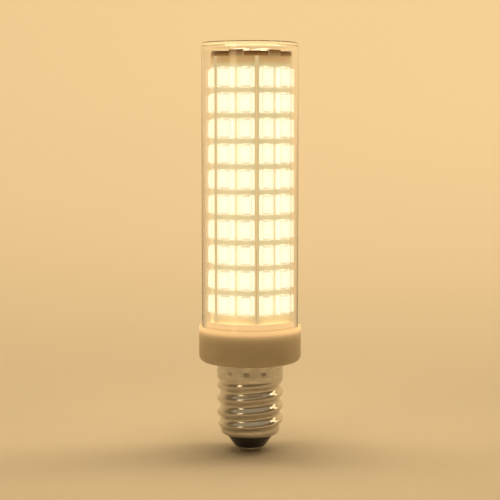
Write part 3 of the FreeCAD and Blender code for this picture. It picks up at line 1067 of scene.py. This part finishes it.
thread_pitch = 2.822 * mm
thread_depth = 0.75 * mm
thread_turns = 4.0
shell_corner = 1.0 * mm
crest = shell_high.x
root = crest - thread_depth
thread_low = shell_low.z + shell_corner
thread_high = thread_low + thread_turns * thread_pitch
wave_points = 14
steps_per_turn = 144
coil_turns = 7
turns_below = 1.2
wave = []
for point in range(wave_points + 1):
    share = point / wave_points
    radius = (crest + root) / 2 + (crest - root) / 2 * math.cos(math.tau * share)
    wave.append((radius, thread_low + (share - turns_below) * thread_pitch))
shell_bm = bmesh.new()
bmesh.ops.spin(shell_bm, geom=drawn_line(shell_bm, wave), cent=(0, 0, 0), axis=(0, 0, 1),
               angle=math.tau * coil_turns, dvec=(0, 0, thread_pitch / steps_per_turn),
               steps=steps_per_turn * coil_turns, use_merge=False)
bmesh.ops.remove_doubles(shell_bm, verts=shell_bm.verts[:], dist=ring_tolerance)
for height, away in ((thread_low, -1), (thread_high, 1)):
    cut_through(shell_bm, (0, 0, height), (0, 0, away), clear_outer=True)
print("faces of the coil:", len(shell_bm.faces))

# %% [markdown]
# ## Screw shell: where the thread runs out
# A rolled thread doesn't stop short: it fades into the plain sheet at both ends. The radius of
# every point near an end is eased to the plain radius there, the root below and the crest
# above. A smooth step makes the change begin and end gently.

# %% Shell: run-out
def eased(share):
    """Smooth step from zero to one."""
    share = min(max(share, 0.0), 1.0)
    return share * share * (3 - 2 * share)


run_out = 0.55 * thread_pitch
for vert in shell_bm.verts:
    radius = math.hypot(vert.co.x, vert.co.y)
    wanted = root + (radius - root) * eased((vert.co.z - thread_low) / run_out)
    wanted = crest + (wanted - crest) * eased((thread_high - vert.co.z) / run_out)
    vert.co.x *= wanted / radius
    vert.co.y *= wanted / radius
print("thread from", round(thread_low / mm, 2), "to", round(thread_high / mm, 2), "mm")

# %% [markdown]
# ## Screw shell: the skirt
# Above the thread the sheet is a plain skirt. One extrusion would give its shape, but the next
# step has to press dents into it, and a mesh bends only at its points. So the open end is
# extruded upwards in several short steps. A ring is always grown from an open end of the coil,
# so the sheet stays in one piece.

# %% Shell: skirt
same_height = 1e-6


def open_ring(bm, height):
    """Edges of an open end at one height."""
    return [e for e in bm.edges
            if e.is_boundary and all(abs(v.co.z - height) < same_height for v in e.verts)]


def grown(bm, ring, radius, height):
    """Extrude a ring to another radius and height, and return the new ring."""
    made = bmesh.ops.extrude_edge_only(bm, edges=ring)["geom"]
    verts = [g for g in made if isinstance(g, bmesh.types.BMVert)]
    old = math.hypot(verts[0].co.x, verts[0].co.y)
    bmesh.ops.scale(bm, vec=(radius / old, radius / old, 1.0), verts=verts)
    bmesh.ops.translate(bm, vec=(0, 0, height - verts[0].co.z), verts=verts)
    fresh = set(verts)
    return [g for g in made if isinstance(g, bmesh.types.BMEdge) and set(g.verts) <= fresh]


shell_edge = 0.12 * mm
skirt_top = shell_high.z - shell_edge
skirt_steps = 10
upper = open_ring(shell_bm, thread_high)
lower = open_ring(shell_bm, thread_low)
for step in range(1, skirt_steps + 1):
    upper = grown(shell_bm, upper, crest, thread_high + (skirt_top - thread_high) * step / skirt_steps)
print("skirt up to", round(skirt_top / mm, 2), "mm")

# %% [markdown]
# ## Screw shell: staking dents
# A tool stakes the skirt to the plastic with a ring of small round dents. Bump could draw them,
# but it isn't part of the mesh, so the dents are real: points of the skirt that lie near a
# dent's centre are pressed inwards, most at the centre and less towards its edge.

# %% Shell: staking dents
dents = 12
dent_radius = 1.0 * mm
dent_depth = 0.15 * mm
dent_drop = 1.3 * mm
dent_height = skirt_top - dent_drop
skirt = [vert for vert in shell_bm.verts if vert.co.z > thread_high]
for number in range(dents):
    angle = math.tau * (number + 0.5) / dents
    outward = Vector((math.cos(angle), math.sin(angle), 0))
    centre = outward * crest + Vector((0, 0, dent_height))
    for vert in skirt:
        vert.co -= outward * dent_depth * eased(1 - (vert.co - centre).length / dent_radius)
print("dents in the skirt:", dents)

# %% [markdown]
# ## Screw shell: closing the sheet
# A solidify modifier could give the sheet its thickness, and would carry the thread through to
# the inner side. But the base's neck fills the shell and hides that side, so a plain bore does.
# Both ends grow on: the upper one folds over the edge and down the bore, and the lower one
# turns in round the corner to the throat. Where the two meet inside, a bridge closes the shell,
# and one mesh with no open edge is left.

# %% Piece: threaded shell
shell_sheet = 0.35 * mm
throat_flange = 0.9 * mm
shell_bore = root - shell_sheet
shell_floor = shell_low.z + shell_sheet
shell_throat = crest - shell_corner - throat_flange
corner_steps = 6
upper = grown(shell_bm, upper, crest - shell_edge, shell_high.z)
upper = grown(shell_bm, upper, shell_bore, shell_high.z)
upper = grown(shell_bm, upper, shell_bore, shell_floor)
for step in range(1, corner_steps + 1):
    angle = math.pi / 2 * step / corner_steps
    radius = root - shell_corner + shell_corner * math.cos(angle)
    lower = grown(shell_bm, lower, radius, thread_low - shell_corner * math.sin(angle))
lower = grown(shell_bm, lower, shell_throat, shell_low.z)
lower = grown(shell_bm, lower, shell_throat, shell_floor)
bmesh.ops.bridge_loops(shell_bm, edges=upper + lower)
bmesh.ops.recalc_face_normals(shell_bm, faces=shell_bm.faces[:])
shell_piece = finished(shell_bm, "threaded_shell", [nickel], ["screw_shell"])
print("shell made with", len(shell_piece.data.polygons), "faces")

# %% [markdown]
# ## Plug
# The plug fills the shell's end with a black cone and keeps the contact in its middle. A cone
# alone would do for the eye, but the real plug reaches into the shell and holds on its floor,
# so that step is part of the outline that is turned.

# %% Piece: plug
plug_hole = 0.9 * mm
plug_fit = 0.05 * mm
cone_end = 3.1 * mm
cone_edge = 0.35 * mm
cone_radius = shell_throat - plug_fit
finished(turned([
    (plug_hole, plug_low.z, 0.0),
    (cone_end, plug_low.z, cone_edge),
    (cone_radius, shell_low.z, 0.0),
    (cone_radius, shell_floor, 0.0),
    (neck_radius, shell_floor, 0.0),
    (neck_radius, plug_high.z, 0.0),
    (plug_hole, plug_high.z, 0.0),
]), "plug_cone", [glassy], ["cap_insulator"])
print("plug made, cone radius", round(cone_radius / mm, 2), "mm")

# %% [markdown]
# ## Contact
# The contact is a rivet through the plug, and its head is rounded by solder. A dome on the head
# would make the lamp longer, so the head's edge is bevelled wide instead.

# %% Piece: contact
contact_low, contact_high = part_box("centre_contact")
contact_radius = contact_high.x
head_round = 0.62 * mm
stem_radius = 0.85 * mm
finished(turned([
    (0.0, contact_low.z, 0.0),
    (contact_radius, contact_low.z, head_round),
    (contact_radius, plug_low.z, 0.0),
    (stem_radius, plug_low.z, 0.0),
    (stem_radius, contact_high.z, 0.0),
    (0.0, contact_high.z, 0.0),
]), "contact_rivet", [tin], ["centre_contact"])
print("contact made, head radius", round(contact_radius / mm, 2), "mm")

# %% [markdown]
# ## Stage
# The lamp stands in a wide round bowl: a floor that turns up into a wall without a corner, so
# that no horizon shows from any side. A plane with a bent back would only do for one view. The
# bowl is spun from an open line, like the coil, and turned to face inwards. A faint cloud keeps
# the pale paint from looking like an empty picture.

# %% Stage: pale bowl
bowl_paint, tree, shader = start_material("pale_stage", Roughness=0.9)
grain = place_group(tree, grain_group, Fine_scale=60.0, Cloud_scale=2.0)
pale = mixed(tree, grain.outputs["Cloud"], linear(190, 180, 164), linear(198, 188, 172))
set_inputs(shader, Base_Color=pale)

floor_radius = 0.15
bowl_radius = 1.7
bowl_height = 1.7
bowl_power = 2.5
curve_steps = 28
bowl_line = [(0.0, 0.0), (floor_radius, 0.0)]
for step in range(1, curve_steps + 1):
    share = step / curve_steps
    bowl_line.append((floor_radius + (bowl_radius - floor_radius) * share, bowl_height * share ** bowl_power))
bowl_bm = bmesh.new()
bmesh.ops.spin(bowl_bm, geom=drawn_line(bowl_bm, bowl_line), cent=(0, 0, 0), axis=(0, 0, 1),
               angle=math.tau, steps=96, use_merge=True)
bmesh.ops.remove_doubles(bowl_bm, verts=bowl_bm.verts[:], dist=same_place)
bmesh.ops.recalc_face_normals(bowl_bm, faces=bowl_bm.faces[:])
bmesh.ops.reverse_faces(bowl_bm, faces=bowl_bm.faces[:])
bowl_mesh = bpy.data.meshes.new("pale_bowl")
bowl_bm.to_mesh(bowl_mesh)
bowl_bm.free()
bowl_mesh.materials.append(bowl_paint)
bowl_mesh.shade_smooth()
bowl = bpy.data.objects.new("pale_bowl", bowl_mesh)
scene.collection.objects.link(bowl)
print("stage made, floor radius", floor_radius, "m")

# %% [markdown]
# ## Studio light
# Soft studio light comes from large panels, and a point light would leave hard shadows. A broad
# warm panel overhead fills the bowl, one on each side draws a highlight down the cover and the
# shell, and a strong one brightens the backdrop behind the lamp.

# %% Lights: studio panels
warm = (1.0, 0.77, 0.45)


def panel(name, place, target, size, power):
    """Rectangular warm light at a place, turned to a target and unseen by the camera."""
    light = bpy.data.lights.new(name, "AREA")
    light.shape = "RECTANGLE"
    light.size = size[0]
    light.size_y = size[1]
    light.energy = power
    light.color = warm
    lamp = bpy.data.objects.new(name, light)
    lamp.location = place
    lamp.rotation_euler = (Vector(target) - Vector(place)).to_track_quat("-Z", "Y").to_euler()
    lamp.visible_camera = False
    scene.collection.objects.link(lamp)
    return lamp


panel("overhead_panel", (0, 0, 1.6), target=(0, 0, 0), size=(1.6, 1.6), power=0.15)
panel("left_panel", (-0.42, -0.36, 0.32), target=(0, 0, 0.05), size=(0.16, 0.34), power=0.28)
panel("right_panel", (0.5, 0.08, 0.34), target=(0, 0, 0.05), size=(0.12, 0.3), power=0.2)
panel("backdrop_panel", (0.15, 0.15, 0.85), target=(0.25, 1.15, 0.14), size=(1.3, 0.45), power=14.0)

# %% [markdown]
# ## The lamp's own light
# The LEDs light the floor as well. Light that has to find its way through the clear wall would
# only arrive as noise, so six narrow panels lie just outside the cover, one before each side
# board, and shine outwards. They don't show in reflections or through the cover. The air all
# round gives a little warm light too, so that no side of the lamp turns black.

# %% Lights: LED strips and air
strip_gap = 0.4 * mm
strip_width = 6.0 * mm
strip_size = (strip_width, body_high.z - body_low.z)
strip_middle = Vector((0, 0, (body_low.z + body_high.z) / 2))
for number in side_numbers:
    out = side_place(number) @ Vector((1, 0, 0))
    place = out * (cover_radius + strip_gap) + strip_middle
    strip = panel("led_light_" + str(number), place, target=place + out, size=strip_size, power=0.011)
    strip.visible_glossy = False
    strip.visible_transmission = False

world = bpy.data.worlds.new("studio_air")
scene.world = world
world.use_nodes = True
set_inputs(world.node_tree.nodes["Background"], Color=(1.0, 0.80, 0.50, 1.0), Strength=0.42)
print("LED strips made:", len(side_numbers))

# %% [markdown]
# ## Camera
# The camera stands a little left of the front and almost level with the lamp, and looks
# slightly down. A wide lens close by would make the top loom, so a long lens at a short
# distance keeps the same perspective as a phone picture that is cropped to the lamp.

# %% Camera
camera_azimuth = math.radians(-9.0)
camera_distance = 0.297
camera_height = 0.0702
aim = Vector((0, 0, 0.042))
camera_data = bpy.data.cameras.new("camera")
camera_data.sensor_width = 36.0
camera_data.lens = 103.7
camera = bpy.data.objects.new("camera", camera_data)
camera.location = (camera_distance * math.sin(camera_azimuth),
                   -camera_distance * math.cos(camera_azimuth), camera_height)
camera.rotation_euler = (aim - camera.location).to_track_quat("-Z", "Y").to_euler()
scene.collection.objects.link(camera)
scene.camera = camera
print("camera at", [round(value, 3) for value in camera.location])

# %% [markdown]
# ## Bloom
# Every lens spreads some light round a lit lamp. A glare node in the compositor adds that to
# the finished picture, so no material has to fake it. The plain view transform keeps the
# colours as they were chosen.

# %% Colours and bloom
scene.view_settings.view_transform = "Standard"
scene.use_nodes = True
lens = scene.node_tree
lens.nodes.clear()
picture = add(lens, "CompositorNodeRLayers")
bloom = add(lens, "CompositorNodeGlare", {
    "Image": picture.outputs["Image"], "Threshold": 1.0, "Smoothness": 0.2, "Strength": 0.12,
    "Size": 0.3}, glare_type="BLOOM")
add(lens, "CompositorNodeComposite", {"Image": bloom.outputs["Image"]})
print("picture goes through", len(lens.nodes), "nodes")
